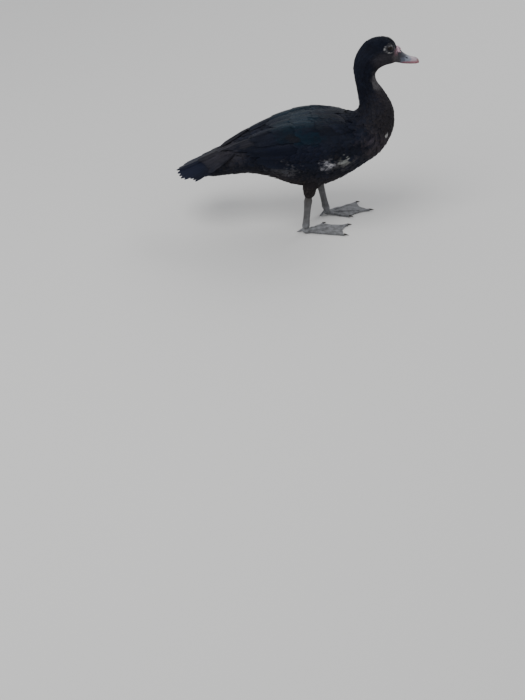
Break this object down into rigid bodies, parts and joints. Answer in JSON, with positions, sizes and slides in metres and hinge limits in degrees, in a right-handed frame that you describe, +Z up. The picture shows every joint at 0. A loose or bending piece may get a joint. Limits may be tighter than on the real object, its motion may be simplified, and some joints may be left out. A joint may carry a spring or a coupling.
{
  "type": "muscovy duck",
  "caption": "Life-size still model of a dark young female Muscovy duck standing on both webbed feet, neck raised and bill level.",
  "frame": {"origin": "on the floor, under the middle of the duck's length and width", "axes": "+X the way the duck faces, +Y to its left, +Z up"},
  "size_m": [0.468, 0.165, 0.3961],
  "materials": {
    "plumage": "soft dark feathers over skin, blue-black above, brown-black on the breast",
    "feathers": "smooth vaned feathers with a green and blue sheen",
    "bill": "satin horn, dark at the root, grey in the middle and pinkish at the tip",
    "eye": "wet dark brown",
    "leg": "matt scaled skin, grey",
    "claw": "dark satin horn"
  },
  "bodies": {
    "root": {"torso": "plumage", "neck_lower": "plumage", "neck_upper": "plumage", "head": "plumage", "bill_upper": "bill", "bill_lower": "bill", "tail": "feathers", "wing_right": "feathers", "wing_left": "feathers", "eye_right": "eye", "eye_left": "eye", "thigh_right": "plumage", "thigh_left": "plumage", "shank_right": "leg", "shank_left": "leg", "foot_right": "leg", "foot_left": "leg", "claw_inner_right": "claw", "claw_middle_right": "claw", "claw_outer_right": "claw", "claw_inner_left": "claw", "claw_middle_left": "claw", "claw_outer_left": "claw"}
  },
  "joints": []
}
